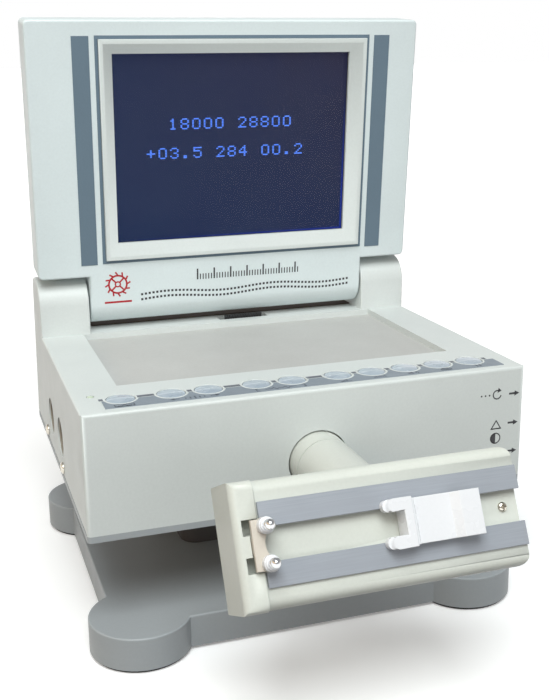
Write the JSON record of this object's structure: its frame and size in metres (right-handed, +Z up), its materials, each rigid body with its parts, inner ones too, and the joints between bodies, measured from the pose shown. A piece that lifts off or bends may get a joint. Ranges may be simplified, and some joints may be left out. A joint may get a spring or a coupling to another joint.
{
  "type": "timegrapher",
  "caption": "Bench watch timing machine: folding display lid on a wedge housing, round keys, and a clamp head on a swivelling arm over a lobed base.",
  "frame": {"origin": "on the desk, at the middle of the base, on the face of its centre pad", "axes": "+Z up, +X to the operator's right along the lid's hinge axis, -Y towards the operator and the sensor head"},
  "size_m": [0.2032, 0.2672, 0.2675],
  "materials": {
    "cream_plastic": "fine satin texture",
    "grey_plastic": "satin moulded",
    "black_rubber": "matte",
    "steel_plate": "rolled",
    "screw_steel": "nickel plated",
    "recess_film": "fine grain",
    "label_film": "printed film",
    "button_plastic": "translucent satin",
    "led_plastic": "clear tinted",
    "circuit_board": "solder mask",
    "black_plastic": "fine texture",
    "arm_plastic": "satin moulded",
    "rail_metal": "grey anodised, satin",
    "white_plastic": "smooth moulded",
    "bracket_plastic": "moulded",
    "sensor_brass": "bare disc",
    "lcd_glass": "clear",
    "lcd_panel": "dark blue display",
    "stripe_film": "printed film",
    "bezel_plastic": "smooth satin"
  },
  "bodies": {
    "base": {"base_plate": "grey_plastic", "rubber_pads": "black_rubber", "base_weight": "steel_plate", "pedestal": "grey_plastic", "pedestal_screws": "screw_steel", "bottom_chassis": "grey_plastic", "chassis_screws": "screw_steel", "upper_shell": "cream_plastic", "recess_panel": "recess_film", "control_label": "label_film", "button_board": "circuit_board", "indicator_led": "led_plastic", "main_board": "circuit_board", "speaker": "black_plastic", "side_screws": "screw_steel", "power_socket": "black_plastic", "printer_socket": "black_plastic", "wheel_axles": "steel_plate", "switch_frame": "black_plastic", "hinge_pins": "steel_plate", "arm_collar": "cream_plastic", "lid_cable": "black_plastic"},
    "reset": {"reset_button": "black_plastic"},
    "contrast": {"contrast_wheel": "black_plastic"},
    "volume": {"volume_wheel": "black_plastic"},
    "rocker": {"power_rocker": "black_plastic"},
    "arm": {"arm_tube": "arm_plastic", "arm_retainer": "steel_plate"},
    "head": {"head_body": "cream_plastic", "head_back": "cream_plastic", "end_block": "cream_plastic", "rail_upper": "rail_metal", "rail_lower": "rail_metal", "channel_screw": "screw_steel", "tilt_pin": "steel_plate", "friction_washers": "steel_plate", "pin_bracket": "bracket_plastic", "clamp_pins": "screw_steel", "pin_sleeves": "white_plastic", "piezo_sensor": "sensor_brass"},
    "jaw": {"sliding_jaw": "white_plastic"},
    "lid": {"lid_front": "cream_plastic", "lid_back": "cream_plastic", "lcd_gasket": "black_plastic", "lcd_bezel": "bezel_plastic", "lcd_window": "lcd_glass", "lcd_module": "lcd_panel", "lid_stripes": "stripe_film", "lid_screws": "screw_steel"},
    "key_1": {"button_1": "button_plastic"},
    "key_2": {"button_2": "button_plastic"},
    "key_3": {"button_3": "button_plastic"},
    "key_4": {"button_4": "button_plastic"},
    "key_5": {"button_5": "button_plastic"},
    "key_6": {"button_6": "button_plastic"},
    "key_7": {"button_7": "button_plastic"},
    "key_8": {"button_8": "button_plastic"},
    "key_9": {"button_9": "button_plastic"},
    "key_10": {"button_10": "button_plastic"}
  },
  "joints": [
    {"name": "lid_hinge", "type": "hinge", "parent": "base", "child": "lid", "pos_m": [0, 0.0602, 0.1275], "axis": [1, 0, 0], "range_deg": [-20, 84.87]},
    {"name": "arm_swivel", "type": "hinge", "parent": "base", "child": "arm", "pos_m": [0.0004, -0.1, 0.0802], "axis": [0, 1, 0], "range_deg": [-90, 90]},
    {"name": "head_tilt", "type": "hinge", "parent": "arm", "child": "head", "pos_m": [0.0004, -0.1506, 0.0802], "axis": [1, 0, 0], "range_deg": [-63.5, 26.5]},
    {"name": "jaw_slide", "type": "slide", "parent": "head", "child": "jaw", "axis": [1, 0, 0], "range_m": [-0.036, 0.016]},
    {"name": "reset_press", "type": "slide", "parent": "base", "child": "reset", "axis": [-1, 0, 0], "range_m": [0, 0.0008], "stiffness_N_per_m": 400},
    {"name": "contrast_turn", "type": "hinge", "parent": "base", "child": "contrast", "pos_m": [0.0936, -0.066, 0.086], "axis": [0, 0, 1], "range_deg": [-135, 135]},
    {"name": "volume_turn", "type": "hinge", "parent": "base", "child": "volume", "pos_m": [0.0936, -0.066, 0.072], "axis": [0, 0, 1], "range_deg": [-135, 135]},
    {"name": "power_rock", "type": "hinge", "parent": "base", "child": "rocker", "pos_m": [0.06, 0.08612, 0.08378], "axis": [1, 0, 0], "range_deg": [-16, 0]},
    {"name": "press_1", "type": "slide", "parent": "base", "child": "key_1", "axis": [0, 0, -1], "range_m": [0, 0.0008], "stiffness_N_per_m": 400},
    {"name": "press_2", "type": "slide", "parent": "base", "child": "key_2", "axis": [0, 0, -1], "range_m": [0, 0.0008], "stiffness_N_per_m": 400},
    {"name": "press_3", "type": "slide", "parent": "base", "child": "key_3", "axis": [0, 0, -1], "range_m": [0, 0.0008], "stiffness_N_per_m": 400},
    {"name": "press_4", "type": "slide", "parent": "base", "child": "key_4", "axis": [0, 0, -1], "range_m": [0, 0.0008], "stiffness_N_per_m": 400},
    {"name": "press_5", "type": "slide", "parent": "base", "child": "key_5", "axis": [0, 0, -1], "range_m": [0, 0.0008], "stiffness_N_per_m": 400},
    {"name": "press_6", "type": "slide", "parent": "base", "child": "key_6", "axis": [0, 0, -1], "range_m": [0, 0.0008], "stiffness_N_per_m": 400},
    {"name": "press_7", "type": "slide", "parent": "base", "child": "key_7", "axis": [0, 0, -1], "range_m": [0, 0.0008], "stiffness_N_per_m": 400},
    {"name": "press_8", "type": "slide", "parent": "base", "child": "key_8", "axis": [0, 0, -1], "range_m": [0, 0.0008], "stiffness_N_per_m": 400},
    {"name": "press_9", "type": "slide", "parent": "base", "child": "key_9", "axis": [0, 0, -1], "range_m": [0, 0.0008], "stiffness_N_per_m": 400},
    {"name": "press_10", "type": "slide", "parent": "base", "child": "key_10", "axis": [0, 0, -1], "range_m": [0, 0.0008], "stiffness_N_per_m": 400}
  ]
}
